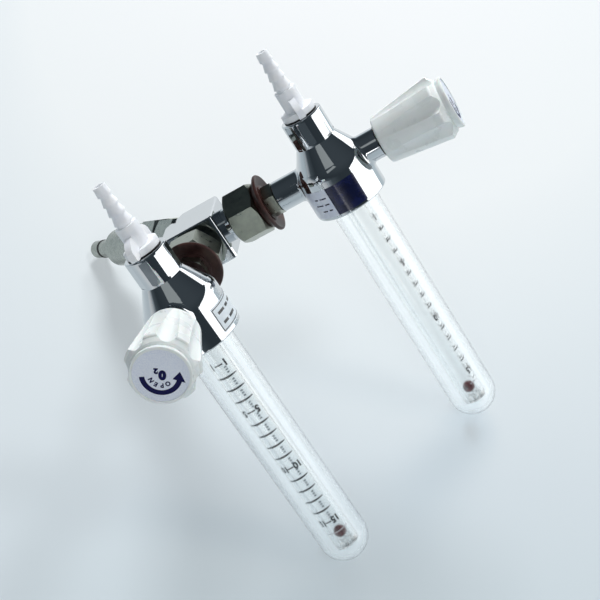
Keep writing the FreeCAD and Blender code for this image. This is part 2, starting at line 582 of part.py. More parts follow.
def make_knob_screw(label):
    """Slotted screw that holds the knob on the spindle, hidden under the cap."""
    body = new_piece(label)
    seat = "(spindle_end + screw_head)"
    start = "(spindle_end - screw_length + screw_head)"
    turned(body, "form", "YZ_Plane", "H_Axis", [
        (start, "0"), (start, "screw_r - running_gap"), (seat, "screw_r - running_gap"),
        (seat, "screw_head_r"), (f"{seat} + screw_head", "screw_head_r"), (f"{seat} + screw_head", "0")])
    sketch = new_sketch(body, "slot_outline", "XZ_Plane", lift=f"-({seat} + screw_head)")
    outline(sketch, [
        ("-screw_head_r - cut_over", "-screw_slot / 2"), ("screw_head_r + cut_over", "-screw_slot / 2"),
        ("screw_head_r + cut_over", "screw_slot / 2"), ("-screw_head_r - cut_over", "screw_slot / 2")])
    extruded(body, "slot", sketch, "screw_slot", backwards=True, cut=True)
    return body


def make_manifold_block(label):
    """Plated block with two turned stubs at right angles, drilled through to one gallery."""
    body = new_piece(label)
    square = "(block_half * sqrt(2))"
    sketch = new_sketch(body, "plan", "XY_Plane")
    front, side = f"({square} - block_front_cut)", f"({square} - block_side_cut)"
    outline(sketch, [
        ("-block_front_cut", f"-{front}"), ("block_front_cut", f"-{front}"),
        (side, "-block_side_cut"), (side, "block_side_cut"),
        ("block_back_cut", BLOCK_BACK), ("-block_back_cut", BLOCK_BACK),
        (f"-{side}", "block_side_cut"), (f"-{side}", "-block_side_cut")])
    extruded(body, "bar", sketch, "block_height", both_ways=True)
    softened(body, "edges", "Chamfer", lambda edge: True, "block_edge")
    for side, turn in (("left", "-arm_angle"), ("right", "arm_angle")):
        turned(body, f"{side}_stub", "XY_Plane", "V_Axis", [
            ("0", "-block_half + stub_root"), ("stub_r", "-block_half + stub_root"),
            ("stub_r", "-block_half - stub_length + stub_edge"),
            ("stub_r - stub_edge", "-block_half - stub_length"),
            ("0", "-block_half - stub_length")], turn=turn)
    for side, turn in (("left", "-arm_angle"), ("right", "arm_angle")):
        turned(body, f"{side}_gallery", "XY_Plane", "V_Axis", [
            ("0", "0"), ("gallery_r", "0"), ("gallery_r", "-block_half - stub_length"),
            ("0", "-block_half - stub_length")], cut=True, turn=turn)
    turned(body, "probe_socket", "XY_Plane", "V_Axis", [
        ("0", "0"), ("gallery_r", "0"), ("gallery_r", f"{BLOCK_BACK} - adaptor_spigot"),
        ("adaptor_spigot_r", f"{BLOCK_BACK} - adaptor_spigot"), ("adaptor_spigot_r", BLOCK_BACK),
        ("0", BLOCK_BACK)], cut=True)
    return body


def make_probe_adaptor(label):
    """Hexagon adaptor screwed into the back of the block, with a male end for the probe's nut."""
    body = new_piece(label)
    sketch = new_sketch(body, "hexagon", "XZ_Plane", lift=f"-{BLOCK_BACK}")
    outline(sketch, hexagon("adaptor_flats"))
    extruded(body, "hexagon_bar", sketch, "adaptor_hex", backwards=True)
    corner = "(adaptor_flats / sqrt(3) + cut_over)"
    turned(body, "chamfer", "YZ_Plane", "H_Axis", [
        (HEX_END, "adaptor_flats / 2 - nut_inset"), (HEX_END, corner),
        (f"{HEX_END} - nut_chamfer", corner)], cut=True)
    inner = f"({BLOCK_BACK} - adaptor_spigot)"
    turned(body, "ends", "YZ_Plane", "H_Axis", [
        (inner, "0"), (inner, "adaptor_spigot_r - thread_gap"),
        (BLOCK_BACK, "adaptor_spigot_r - thread_gap"), (f"{BLOCK_BACK} + stub_edge", "stub_r"),
        (ADAPTOR_END, "stub_r"), (ADAPTOR_END, "0")])
    turned(body, "bore", "YZ_Plane", "H_Axis", [
        (inner, "0"), (inner, "gallery_r"), (ADAPTOR_END, "gallery_r"), (ADAPTOR_END, "0")], cut=True)
    return body


def make_probe_nut(label):
    """Plated hexagon nut that joins the probe to the adaptor."""
    body = new_piece(label)
    near, far = PROBE_NUT_NEAR, PROBE_NUT_FAR
    head = f"({ADAPTOR_END} + face_seal + nipple_head)"
    sketch = new_sketch(body, "hexagon", "XZ_Plane", lift=f"-{near}")
    outline(sketch, hexagon("nut_flats"))
    extruded(body, "blank", sketch, "nut_length", backwards=True)
    for name, face, inwards in (("near", near, "+"), ("far", far, "-")):
        turned(body, f"{name}_chamfer", "YZ_Plane", "H_Axis", [
            (face, "nut_flats / 2 - nut_inset"), (face, NUT_CORNER),
            (f"{face} {inwards} nut_chamfer", NUT_CORNER)], cut=True)
    turned(body, "bore", "YZ_Plane", "H_Axis", [
        (near, "0"), (near, "stub_r + thread_gap"), (head, "stub_r + thread_gap"),
        (head, "nipple_r + thread_gap"), (far, "nipple_r + thread_gap"), (far, "0")], cut=True)
    return body


def make_gas_probe(label):
    """Turned probe: head under the nut, knurled collar, waist, cone and the sealing nose."""
    body = new_piece(label)
    head = f"({ADAPTOR_END} + face_seal)"
    collar = PROBE_NUT_FAR
    neck = f"({collar} + probe_collar)"
    neck_r = "(probe_waist_r - probe_neck_depth)"
    groove = f"({NOSE_START} + probe_groove_set)"
    groove_r = "(probe_nose_r - probe_groove_depth)"
    turned(body, "form", "YZ_Plane", "H_Axis", [
        (head, "probe_bore_r"), (head, "nipple_head_r"), (f"{head} + nipple_head", "nipple_head_r"),
        (f"{head} + nipple_head", "nipple_r"), (collar, "nipple_r"),
        (collar, "probe_collar_r - probe_edge"), (f"{collar} + probe_edge", "probe_collar_r"),
        (f"{neck} - probe_edge", "probe_collar_r"), (neck, "probe_collar_r - probe_edge"),
        (neck, neck_r), (f"{neck} + probe_neck", neck_r), (f"{neck} + probe_neck", "probe_waist_r"),
        (CONE_START, "probe_waist_r"), (f"{CONE_START} + probe_edge", "probe_waist_r - probe_edge"),
        (NOSE_START, "probe_nose_r"), (groove, "probe_nose_r"), (groove, groove_r),
        (f"{groove} + probe_groove", groove_r), (f"{groove} + probe_groove", "probe_nose_r"),
        (f"{PROBE_REACH} - probe_nose_round", "probe_nose_r"),
        (PROBE_REACH, "probe_nose_r - probe_nose_round", "probe_nose_round", -1),
        (PROBE_REACH, "probe_bore_r")])
    sketch = new_sketch(body, "knurl_circle", "XZ_Plane", lift=f"-{collar}")
    circle(sketch, "knurl_r", across="probe_collar_r + knurl_set")
    knurl = extruded(body, "knurl", sketch, "probe_collar", backwards=True, cut=True)
    repeated(body, "knurls", [knurl], "Y_Axis", "knurl_count")
    return body


pieces = []


def place(piece, frame):
    """Sets the piece in the part's frame and lists it for checking and writing."""
    piece.Placement = frame
    pieces.append(piece)


# The lean that puts both domes and the nose of the probe on the table.
dome_forward = number(f"{ARM_REACH} * cos(arm_angle)")
nose_back = number(f"{PROBE_REACH} - probe_nose_round")
nose_low = number("probe_nose_r - probe_nose_round")
dome_down = number(DOME_Z)
dome_r = number("tube_r")
nose_round = number("probe_nose_round")
span_along = dome_forward + nose_back
span_down = dome_down - nose_low
span = math.hypot(span_along, span_down)
lean = math.atan2(span_down, span_along) + math.asin((dome_r - nose_round) / span)
lift = dome_r + dome_down * math.cos(lean) - dome_forward * math.sin(lean)
front_most = -dome_forward * math.cos(lean) - dome_down * math.sin(lean) - dome_r
rear_most = nose_back * math.cos(lean) + nose_low * math.sin(lean) + nose_round
leaning = Placement(Vector(0, -(front_most + rear_most) / 2, lift),
                    Rotation(Vector(1, 0, 0), -math.degrees(lean)))

RINGS = [
    # name, plane, axis, inner radius, outer radius, low end, high end
    ("tube_gasket", "XZ_Plane", "V_Axis", "tube_r - tube_wall", f"{SOCKET_R} - float_gap",
     "-socket_roof - gasket", "-socket_roof"),
    ("metering_gasket", "XZ_Plane", "V_Axis", "metering_foot_bore", "metering_r - thread_gap",
     "-metering_seat - metering_gasket", "-metering_seat"),
    ("hose_tail_seal", "XZ_Plane", "V_Axis", "outlet_r + thread_gap", "tail_collar_r",
     "boss_top", "boss_top + tail_seal"),
    ("spindle_seal", "YZ_Plane", "H_Axis", "spindle_r + running_gap", "chamber_r - running_gap",
     "valve_reach - bonnet_depth - o_ring", "valve_reach - bonnet_depth"),
    ("inlet_filter", "YZ_Plane", "H_Axis", "0", "nipple_bore_r - thread_gap",
     "nipple_thread - inlet_reach", "nipple_thread - inlet_reach + filter_thick"),
    ("nipple_seal", "YZ_Plane", "H_Axis", "nipple_bore", "nipple_head_r - face_seal_inset",
     f"-{NIPPLE_FACE} - face_seal", f"-{NIPPLE_FACE}"),
    ("knob_cap", "YZ_Plane", "H_Axis", "0", "cap_r - thread_gap",
     f"{KNOB_FACE} - cap_sunk - cap_thick", f"{KNOB_FACE} - cap_sunk"),
]

FORMED = [
    ("flowmeter_body", make_flowmeter_body), ("outer_tube", make_outer_tube),
    ("tube_ring", make_tube_ring), ("metering_tube", make_metering_tube),
    ("float_stop", make_float_stop), ("inlet_nipple", make_inlet_nipple),
    ("lock_nut", make_lock_nut), ("sealing_collar", make_sealing_collar),
    ("valve_bonnet", make_valve_bonnet), ("valve_spindle", make_valve_spindle),
    ("knob_screw", make_knob_screw),
]

for side, sign in (("left", 1), ("right", -1)):
    outwards = sign * (180 - number("arm_angle"))
    reach = number(ARM_REACH)
    forward = Vector(-sign * reach * math.sin(math.radians(number("arm_angle"))), -dome_forward, 0)
    flowmeter = leaning.multiply(Placement(forward, Rotation(Vector(0, 0, 1), outwards)))
    for name, make in FORMED:
        place(make(f"{side}_{name}"), flowmeter)
    for name, role, axis, inner, outer, low, high in RINGS:
        place(ring(f"{side}_{name}", role, axis, inner, outer, low, high), flowmeter)
    at_rest = Placement(Vector(0, 0, -number(BALL_REST)), Rotation())
    place(make_ball_float(f"{side}_ball_float"), flowmeter.multiply(at_rest))
    grip = Rotation(Vector(0, 1, 0), number("knob_angle"))
    place(make_knob(f"{side}_knob"), flowmeter.multiply(Placement(Vector(), grip)))
    nut = Rotation(Vector(0, 1, 0), number(f"nut_angle_{side}"))
    place(make_union_nut(f"{side}_union_nut"), flowmeter.multiply(Placement(Vector(), nut)))
    wings = Rotation(Vector(0, 0, 1), number(f"wing_angle_{side}"))
    place(make_hose_tail(f"{side}_hose_tail"), flowmeter.multiply(Placement(Vector(), wings)))

place(make_manifold_block("manifold_block"), leaning)
place(make_probe_adaptor("probe_adaptor"), leaning)
place(make_probe_nut("probe_nut"), leaning)
place(make_gas_probe("gas_probe"), leaning)
place(ring("probe_face_seal", "YZ_Plane", "H_Axis", "gallery_r", "nipple_head_r - face_seal_inset",
           ADAPTOR_END, f"{ADAPTOR_END} + face_seal"), leaning)
groove_start = f"{NOSE_START} + probe_groove_set"
place(ring("probe_nose_seal", "YZ_Plane", "H_Axis", "probe_nose_r - probe_groove_depth",
           "probe_nose_r + nose_seal_proud", f"{groove_start} + nose_seal_gap",
           f"{groove_start} + probe_groove - nose_seal_gap"), leaning)

doc.recompute()
for item in doc.Objects:
    if "Invalid" in item.State or "Error" in item.State:
        raise RuntimeError(f"{item.Name} did not build: {item.State}")
for piece in pieces:
    if piece.Shape.isNull() or not piece.Shape.isValid():
        raise RuntimeError(f"{piece.Label} has no valid shape")

os.makedirs("parts", exist_ok=True)
for piece in pieces:
    piece.Shape.exportStep(f"parts/{piece.Label}.step")
print(len(pieces), "pieces written; lean", round(math.degrees(lean), 2), "degrees")
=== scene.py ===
import json
import math

import bmesh
import bpy
from mathutils import Matrix, Vector


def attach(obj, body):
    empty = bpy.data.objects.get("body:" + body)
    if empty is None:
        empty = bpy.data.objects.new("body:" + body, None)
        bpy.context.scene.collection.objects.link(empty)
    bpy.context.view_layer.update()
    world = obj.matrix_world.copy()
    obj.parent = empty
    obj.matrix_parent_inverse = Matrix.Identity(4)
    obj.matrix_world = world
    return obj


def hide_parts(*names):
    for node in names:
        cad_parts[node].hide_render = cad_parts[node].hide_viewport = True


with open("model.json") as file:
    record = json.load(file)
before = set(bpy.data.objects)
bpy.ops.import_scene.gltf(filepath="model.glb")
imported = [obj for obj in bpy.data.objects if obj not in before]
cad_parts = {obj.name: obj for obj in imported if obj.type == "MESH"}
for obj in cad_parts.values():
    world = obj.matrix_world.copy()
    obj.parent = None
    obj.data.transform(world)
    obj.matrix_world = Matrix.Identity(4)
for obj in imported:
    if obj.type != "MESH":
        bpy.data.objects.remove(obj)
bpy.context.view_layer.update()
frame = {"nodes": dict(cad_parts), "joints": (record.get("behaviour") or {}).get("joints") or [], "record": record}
nodes = frame["nodes"]
joints = {joint["name"]: joint for joint in frame["joints"]}
MM = 0.001

# The camera looks down on the part from its left front corner, at the photograph's angle.
# Its three directions and its place were solved from edges measured in the photograph.
photo_lens = bpy.data.cameras.new("photo_camera")
photo_lens.sensor_width = 36.0
photo_lens.lens = 78.93
photo_lens.clip_start = 0.05
photo_camera = bpy.data.objects.new("photo_camera", photo_lens)
photo_right = Vector((0.639774, -0.768563, -0.000592))
photo_up = Vector((0.622020, 0.517335, 0.587755))
photo_back = photo_right.cross(photo_up)
photo_camera.matrix_world = Matrix((photo_right, photo_up, photo_back)).transposed().to_4x4()
photo_camera.matrix_world.translation = Vector((-0.3222311, -0.3080328, 0.6754740))
bpy.context.scene.collection.objects.link(photo_camera)
bpy.context.scene.camera = photo_camera
bpy.context.scene.view_settings.view_transform = "Standard"


# The table is a pale, faintly blue sheet of laminate, matt enough to show no reflections.
# Half of what the camera, metal and clear plastic see of it is its own glow, so it stays pale
# under soft shadows. A pool of light is painted into its colour: it pales away from the camera
# and towards its middle.
def srgb(text):
    """Turns a written colour such as #D7DEE5 into the linear values that shaders take."""
    values = [int(text[i : i + 2], 16) / 255 for i in (1, 3, 5)]
    linear = [v / 12.92 if v <= 0.04045 else ((v + 0.055) / 1.055) ** 2.4 for v in values]
    return (*linear, 1.0)


def add(tree, kind, inputs=None, **settings):
    """Adds one node. A socket given for an input is linked to it, any other value is set."""
    node = tree.nodes.new(kind)
    for name, value in settings.items():
        setattr(node, name, value)
    for name, value in (inputs or {}).items():
        if isinstance(value, bpy.types.NodeSocket):
            tree.links.new(value, node.inputs[name])
        else:
            node.inputs[name].default_value = value
    return node


def new_finish(name, **sockets):
    """Starts a named finish; returns it, its node tree, its shader and the place on the piece."""
    finish = bpy.data.materials.new(name)
    finish.use_nodes = True
    tree = finish.node_tree
    shader = tree.nodes["Principled BSDF"]
    for name_of_socket, value in sockets.items():
        shader.inputs[name_of_socket.replace("_", " ")].default_value = value
    return finish, tree, shader, add(tree, "ShaderNodeTexCoord").outputs["Object"]


def colours(node, *stops):
    """Gives a colour ramp its stops, each a place from 0 to 1 and a written colour."""
    ramp = node.color_ramp
    while len(ramp.elements) < len(stops):
        ramp.elements.new(0.5)
    for element, (position, text) in zip(ramp.elements, stops):
        element.position = position
        element.color = srgb(text)
    return node.outputs["Color"]


def shape(name, points, faces):
    """Makes an object from points in metres and faces that name them by number."""
    mesh = bpy.data.meshes.new(name)
    mesh.from_pydata(points, [], faces)
    piece = bpy.data.objects.new(name, mesh)
    bpy.context.scene.collection.objects.link(piece)
    return piece


table_reach = 4.0
table = shape(
    "table_top",
    [(-table_reach, -table_reach, 0), (table_reach, -table_reach, 0),
     (table_reach, table_reach, 0), (-table_reach, table_reach, 0)],
    [(0, 1, 2, 3)],
)
away_from_camera, to_camera_right = (0.769, 0.640, 0.0), (0.640, -0.769, 0.0)
near_edge, far_edge, bright_middle = -0.16, 0.34, 0.05
bend_at_far, bend_at_near, cloudiness = -11.0, 2.6, 0.06
glow_share, extra_glow_through_plastic = 0.50, 0.45
laminate, tree, shader, spot = new_finish("pale_laminate", Roughness=0.85)
depth = add(tree, "ShaderNodeVectorMath", {0: spot, 1: away_from_camera},
            operation="DOT_PRODUCT").outputs["Value"]
depth = add(tree, "ShaderNodeMapRange",
            {"Value": depth, "From Min": near_edge, "From Max": far_edge},
            clamp=False).outputs["Result"]
aside = add(tree, "ShaderNodeVectorMath", {0: spot, 1: to_camera_right},
            operation="DOT_PRODUCT").outputs["Value"]
aside = add(tree, "ShaderNodeMath", {0: aside, 1: bright_middle},
            operation="SUBTRACT").outputs["Value"]
aside = add(tree, "ShaderNodeMath", {0: aside, 1: aside}, operation="MULTIPLY").outputs["Value"]
fall = add(tree, "ShaderNodeMath", {0: depth, 1: bend_at_far, 2: bend_at_near},
           operation="MULTIPLY_ADD").outputs["Value"]
depth = add(tree, "ShaderNodeMath", {0: aside, 1: fall, 2: depth},
            operation="MULTIPLY_ADD").outputs["Value"]
mottle = add(tree, "ShaderNodeTexNoise",
             {"Vector": spot, "Scale": 5.0, "Detail": 2.0}).outputs["Fac"]
depth = add(tree, "ShaderNodeMath", {0: mottle, 1: cloudiness, 2: depth},
            operation="MULTIPLY_ADD").outputs["Value"]
# This ramp is painted light: a pool of light and its falloff across the table's colour.
ramp = add(tree, "ShaderNodeValToRGB", {"Fac": depth})
pale = colours(ramp, (0.03, "#CDD9DF"), (0.19, "#D5DFE5"), (0.39, "#E2EAEE"), (0.58, "#EDF2F4"),
               (1.0, "#F1F4F6"))
tree.links.new(pale, shader.inputs["Base Color"])
rays = add(tree, "ShaderNodeLightPath")
seen = add(tree, "ShaderNodeMath",
           {0: rays.outputs["Is Camera Ray"], 1: rays.outputs["Is Glossy Ray"]}, operation="ADD")
seen = add(tree, "ShaderNodeMath",
           {0: seen.outputs["Value"], 1: rays.outputs["Is Transmission Ray"]}, operation="ADD",
           use_clamp=True)
lift = add(tree, "ShaderNodeMath",
           {0: rays.outputs["Is Transmission Ray"], 1: extra_glow_through_plastic, 2: 1.0},
           operation="MULTIPLY_ADD")
glow = add(tree, "ShaderNodeEmission", {"Color": pale, "Strength": lift.outputs["Value"]})
share = add(tree, "ShaderNodeMath", {0: seen.outputs["Value"], 1: glow_share}, operation="MULTIPLY")
both = add(tree, "ShaderNodeMixShader",
           {0: share.outputs["Value"], 1: shader.outputs["BSDF"], 2: glow.outputs["Emission"]})
tree.links.new(both.outputs["Shader"], tree.nodes["Material Output"].inputs["Surface"])
table.data.materials.append(laminate)

# The studio is dark above the table, which is what bright metal shows there, and pale low
# down, where the backdrop stands. The camera and the clear plastic see only the pale backdrop,
# which is brightest to the right and gives way to the dark room behind the photographer.
to_bright_side, to_camera = (0.81, -0.51, 0.29), (-0.451, -0.376, 0.809)
studio = bpy.data.worlds.new("studio")
studio.use_nodes = True
bpy.context.scene.world = studio
tree = studio.node_tree
sky = tree.nodes["Background"]
toward = add(tree, "ShaderNodeTexCoord").outputs["Generated"]
height = add(tree, "ShaderNodeSeparateXYZ", {0: toward}).outputs["Z"]
ramp = add(tree, "ShaderNodeValToRGB", {"Fac": height})
room = colours(ramp, (0.0, "#AEB6BC"), (0.10, "#525B61"), (0.35, "#343C42"), (1.0, "#454D53"))
rays = add(tree, "ShaderNodeLightPath")
rightward = add(tree, "ShaderNodeVectorMath", {0: toward, 1: to_bright_side},
                operation="DOT_PRODUCT").outputs["Value"]
ramp = add(tree, "ShaderNodeValToRGB", {"Fac": rightward})
beyond = colours(ramp, (0.15, "#DCE4E8"), (0.60, "#FDFFFF"))
clear = add(tree, "ShaderNodeMath",
            {0: rays.outputs["Is Camera Ray"], 1: rays.outputs["Is Transmission Ray"]},
            operation="ADD", use_clamp=True)
behind = add(tree, "ShaderNodeVectorMath", {0: toward, 1: to_camera},
             operation="DOT_PRODUCT").outputs["Value"]
ramp = add(tree, "ShaderNodeMapRange", {"Value": behind, "From Min": 0.35, "From Max": 0.80})
beyond = add(tree, "ShaderNodeMix", {0: ramp.outputs["Result"], 6: beyond, 7: srgb("#3A4247")},
             data_type="RGBA").outputs[2]
backdrop = add(tree, "ShaderNodeMix", {0: clear.outputs["Value"], 6: room, 7: beyond},
               data_type="RGBA")
tree.links.new(backdrop.outputs[2], sky.inputs["Color"])


# A wide softbox stands to the right, for the reflections alone; a dim card hangs above the
# left side and a narrow strip lies low in front. The main light comes from behind the part, a
# weaker one from high on its right and a weak fill from beside the camera, all unreflected.
part_middle = Vector((0, 0, 0.09))


def lamp(name, azimuth, elevation, distance, width, length, watts,
         shows=True, lights=True, colour="#FFFFFF"):
    """Hangs a soft panel that looks at the part; azimuth 0 is +Y and 90 is +X, in degrees."""
    light = bpy.data.lights.new(name, "AREA")
    light.shape = "RECTANGLE"
    light.size = width
    light.size_y = length
    light.energy = watts
    light.color = srgb(colour)[:3]
    panel = bpy.data.objects.new(name, light)
    a, e = math.radians(azimuth), math.radians(elevation)
    aim = Vector((math.sin(a) * math.cos(e), math.cos(a) * math.cos(e), math.sin(e)))
    panel.location = part_middle + aim * distance
    panel.rotation_euler = aim.to_track_quat("Z", "Y").to_euler()
    panel.visible_glossy = shows
    panel.visible_camera = False
    panel.visible_diffuse = lights
    panel.visible_transmission = False
    bpy.context.scene.collection.objects.link(panel)


lamp("right_softbox", 122, 17, 1.2, 2.6, 0.88, 16.0, lights=False)
lamp("left_card", -84, 63, 1.2, 0.30, 0.60, 0.2, colour="#F2F7F4")
lamp("front_strip", -139, 9, 1.2, 0.50, 0.06, 0.5)
lamp("back_key", 50, 36, 2.4, 0.62, 0.62, 54.0, shows=False)
lamp("side_key", 116, 60, 2.2, 0.36, 0.36, 12.0, shows=False)
lamp("camera_fill", -140, 42, 1.4, 0.9, 0.9, 5.6, shows=False)


# One flowmeter stands each side of the block, at 45 degrees to it. Each has its own frame,
# in which +Y points out along the valve and +Z along the hose tail, as the part's source has it.
valve_joint_reach = 40.0


def seat(side):
    """Gives the place of one flowmeter's frame, from the joints of its valve and its float."""
    outward = Vector(joints[side + "_knob_turn"]["axis"]).normalized()
    along = Vector(joints[side + "_float_rise"]["axis"]).normalized()
    start = Vector(joints[side + "_knob_turn"]["pos_m"]) - outward * valve_joint_reach * MM
    place = Matrix((outward.cross(along), outward, along)).transposed().to_4x4()
    place.translation = start
    return place


seats = {side: seat(side) for side in ("left", "right")}


def dress(node, finish):
    """Gives a carried-over piece of the frame its finish."""
    nodes[node].data.materials.clear()
    nodes[node].data.materials.append(finish)


# The block is a brass casting, chromium plated, which both flowmeters screw onto. Its faces
# are polished before plating and hold a faint waviness, so straight reflections wander a little.
chromium, tree, shader, spot = new_finish("polished_chromium_plate", Base_Color=srgb("#C9CDD0"),
                                          Metallic=1.0)
polish_wave, pit_size = 9.0 * MM, 0.5 * MM
ripple = add(tree, "ShaderNodeTexNoise", {"Vector": spot, "Scale": 1 / polish_wave, "Detail": 1.5})
pitting = add(tree, "ShaderNodeTexNoise", {"Vector": spot, "Scale": 1 / pit_size, "Detail": 3.0})
rough = add(tree, "ShaderNodeMapRange", {
    "Value": pitting.outputs["Fac"], "From Min": 0.45, "From Max": 0.80,
    "To Min": 0.04, "To Max": 0.10})
tree.links.new(rough.outputs["Result"], shader.inputs["Roughness"])
wave = add(tree, "ShaderNodeBump",
           {"Height": ripple.outputs["Fac"], "Strength": 0.08, "Distance": 0.5 * MM})
tree.links.new(wave.outputs["Normal"], shader.inputs["Normal"])
dress("manifold_block", chromium)


# The nuts, the adaptor and the probe are turned from brass bar and nickel plated. Turning
# leaves fine rings about their axis and the plate is satin, so they show no clear reflections.
turning_ring = 0.30 * MM


def satin_nickel(name, axis, base, low, high):
    """A satin nickel finish with turning rings square to an axis of the piece."""
    finish, tree, shader, spot = new_finish(name, Metallic=1.0)
    along = add(tree, "ShaderNodeVectorMath", {0: spot, 1: axis}, operation="DOT_PRODUCT")
    rings = add(tree, "ShaderNodeMath", {0: along.outputs["Value"], 1: 2 * math.pi / turning_ring},
                operation="MULTIPLY")
    rings = add(tree, "ShaderNodeMath", {0: rings.outputs["Value"]}, operation="SINE")
    cloud = add(tree, "ShaderNodeTexNoise",
                {"Vector": spot, "Scale": 1 / (4.0 * MM), "Detail": 4.0, "Roughness": 0.6})
    ramp = add(tree, "ShaderNodeValToRGB", {"Fac": cloud.outputs["Fac"]})
    tree.links.new(colours(ramp, (0.30, base[0]), (0.70, base[1])), shader.inputs["Base Color"])
    rough = add(tree, "ShaderNodeMapRange", {
        "Value": cloud.outputs["Fac"], "From Min": 0.3, "From Max": 0.7,
        "To Min": low, "To Max": high})
    tree.links.new(rough.outputs["Result"], shader.inputs["Roughness"])
    cut = add(tree, "ShaderNodeBump",
              {"Height": rings.outputs["Value"], "Strength": 0.12, "Distance": 0.02 * MM})
    tree.links.new(cut.outputs["Normal"], shader.inputs["Normal"])
    return finish


probe_axis = tuple(frame["record"]["mounts"][0]["axis"])
probe_nickel = satin_nickel("satin_nickel_probe", probe_axis, ("#8E948F", "#A9AEA8"), 0.22, 0.32)
for node in ("probe_adaptor", "probe_nut", "gas_probe"):
    dress(node, probe_nickel)

# Two rings of black nitrile seal the probe: a flat one behind its nut and an O-ring near the
# end of its nose. Moulded rubber is dark and soft, with a dull bloom.
nitrile, tree, shader, spot = new_finish("moulded_nitrile", Roughness=0.55)
bloom = add(tree, "ShaderNodeTexNoise", {"Vector": spot, "Scale": 1 / (1.2 * MM), "Detail": 5.0})
ramp = add(tree, "ShaderNodeValToRGB", {"Fac": bloom.outputs["Fac"]})
tree.links.new(colours(ramp, (0.35, "#161616"), (0.75, "#2B2A29")), shader.inputs["Base Color"])
fine_texture = add(tree, "ShaderNodeBump",
            {"Height": bloom.outputs["Fac"], "Strength": 0.3, "Distance": 0.05 * MM})
tree.links.new(fine_texture.outputs["Normal"], shader.inputs["Normal"])
for node in ("probe_face_seal", "probe_nose_seal"):
    dress(node, nitrile)

# Each flowmeter is drawn to the block by a large hexagon union nut over a turned nipple, with
# a thin lock nut on its neck. The nuts are barrel plated: a dull, faintly green nickel.
for side, place in seats.items():
    valve_axis = tuple(place.to_3x3().col[1])
    union_nickel = satin_nickel(side + "_satin_nickel", valve_axis,
                                ("#8D9288", "#A4A89C"), 0.26, 0.36)
    for node in ("_union_nut", "_lock_nut"):
        dress(side + node, union_nickel)
    for node in ("_nipple_seal", "_tube_gasket", "_metering_gasket", "_spindle_seal",
                 "_hose_tail_seal"):
        dress(side + node, nitrile)

# The nipple, the ring that holds the clear tube and the valve's bonnet stay bare turned brass.
# It has darkened unevenly, and is dullest where it is darkest.
brass, tree, shader, spot = new_finish("turned_brass", Metallic=1.0)
tarnish = add(tree, "ShaderNodeTexNoise",
              {"Vector": spot, "Scale": 1 / (3.0 * MM), "Detail": 5.0, "Roughness": 0.65})
ramp = add(tree, "ShaderNodeValToRGB", {"Fac": tarnish.outputs["Fac"]})
tree.links.new(colours(ramp, (0.30, "#6E5A33"), (0.70, "#C9AD6C")), shader.inputs["Base Color"])
rough = add(tree, "ShaderNodeMapRange", {
    "Value": tarnish.outputs["Fac"], "From Min": 0.3, "From Max": 0.7,
    "To Min": 0.45, "To Max": 0.22})
tree.links.new(rough.outputs["Result"], shader.inputs["Roughness"])
for side in seats:
    for node in ("_inlet_nipple", "_tube_ring", "_valve_bonnet"):
        dress(side + node, brass)

# A disc of sintered bronze in each neck keeps grit out: grains of about a third of a
# millimetre, brown and matt.
sinter, tree, shader, spot = new_finish("sintered_bronze", Metallic=1.0, Roughness=0.6)
grains = add(tree, "ShaderNodeTexVoronoi", {"Vector": spot, "Scale": 1 / (0.35 * MM)})
ramp = add(tree, "ShaderNodeValToRGB", {"Fac": grains.outputs["Distance"]})
tree.links.new(colours(ramp, (0.1, "#9A7A4E"), (0.7, "#4A3820")), shader.inputs["Base Color"])
bumps = add(tree, "ShaderNodeBump",
            {"Height": grains.outputs["Distance"], "Strength": 0.8, "Distance": 0.1 * MM})
tree.links.new(bumps.outputs["Normal"], shader.inputs["Normal"])
for side in seats:
    dress(side + "_inlet_filter", sinter)

# A dished collar of dark brown rubber sits between each lock nut and its union nut. The
# moulding is uneven in colour and gloss, where dust has settled and handling has wiped it.
brown, tree, shader, spot = new_finish("moulded_brown_rubber", Roughness=0.42)
dust = add(tree, "ShaderNodeTexNoise",
           {"Vector": spot, "Scale": 1 / (5.0 * MM), "Detail": 6.0, "Roughness": 0.6})
ramp = add(tree, "ShaderNodeValToRGB", {"Fac": dust.outputs["Fac"]})
tree.links.new(colours(ramp, (0.35, "#2A1512"), (0.72, "#4A302B")), shader.inputs["Base Color"])
matt = add(tree, "ShaderNodeMapRange",
           {"Value": dust.outputs["Fac"], "To Min": 0.32, "To Max": 0.6})
tree.links.new(matt.outputs["Result"], shader.inputs["Roughness"])
skin = add(tree, "ShaderNodeTexNoise", {"Vector": spot, "Scale": 1 / (0.6 * MM), "Detail": 3.0})
pores = add(tree, "ShaderNodeBump",
            {"Height": skin.outputs["Fac"], "Strength": 0.25, "Distance": 0.05 * MM})
tree.links.new(pores.outputs["Normal"], shader.inputs["Normal"])
for side in seats:
    dress(side + "_sealing_collar", brown)

# The flowmeter's body is one brass casting, polished and chromium plated like the block. Its
# flat-sided boss takes the hose tail and its skirt takes the clear tube.
for side in seats:
    dress(side + "_flowmeter_body", chromium)


# The clear tube that guards the scale is moulded polycarbonate, thick-walled, with a domed
# end. It is clear with a slight haze, and its shadow is only a thin veil.
on_axis, sharp_edge = 1e-6, 32.0


